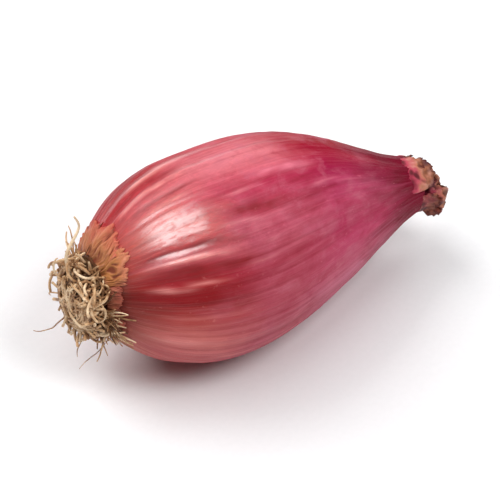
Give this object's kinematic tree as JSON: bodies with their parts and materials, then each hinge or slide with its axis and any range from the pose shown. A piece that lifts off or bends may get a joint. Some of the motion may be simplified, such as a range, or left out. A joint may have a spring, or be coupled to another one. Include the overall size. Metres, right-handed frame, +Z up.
{
  "type": "red onion",
  "caption": "Long red onion lying on its side, with a ribbed skin, a mat of dry roots and a crumpled dry neck.",
  "frame": {"origin": "middle of the footprint of the bounding box, at the level of the surface the onion rests on", "axes": "+X along the onion from its roots towards its neck, +Z up, +Y towards the side its neck leans to"},
  "size_m": [0.0844, 0.0398, 0.0399],
  "materials": {
    "skin": "satin, dry and finely streaked",
    "papery_collar": "matt, dry and torn",
    "root_plate": "matt and corky",
    "roots": "matt, dry fibre",
    "dried_neck": "matt, dry and crumpled"
  },
  "bodies": {
    "root": {"bulb": "skin", "root_plate": "root_plate", "root_01": "roots", "root_02": "roots", "root_03": "roots", "root_04": "roots", "root_05": "roots", "root_06": "roots", "root_07": "roots", "root_08": "roots", "root_09": "roots", "root_10": "roots", "root_11": "roots", "root_12": "roots", "root_13": "roots", "root_14": "roots", "root_15": "roots", "root_16": "roots", "root_17": "roots", "root_18": "roots", "root_19": "roots", "root_20": "roots", "root_21": "roots", "root_22": "roots", "root_23": "roots", "root_24": "roots", "root_25": "roots", "root_26": "roots", "root_27": "roots", "root_28": "roots", "root_29": "roots", "root_30": "roots", "root_31": "roots", "root_32": "roots", "root_33": "roots", "root_34": "roots", "root_35": "roots", "root_36": "roots", "root_37": "roots", "root_38": "roots", "root_39": "roots", "root_40": "roots", "root_41": "roots", "root_42": "roots", "collar_flap_01": "papery_collar", "collar_flap_02": "papery_collar", "collar_flap_03": "papery_collar", "collar_flap_04": "papery_collar", "collar_flap_05": "papery_collar", "collar_flap_06": "papery_collar", "collar_flap_07": "papery_collar", "collar_flap_08": "papery_collar", "collar_flap_09": "papery_collar", "neck_stub": "dried_neck", "neck_leaf_01": "dried_neck", "neck_leaf_02": "dried_neck", "neck_leaf_03": "dried_neck", "neck_leaf_04": "dried_neck"}
  },
  "joints": []
}
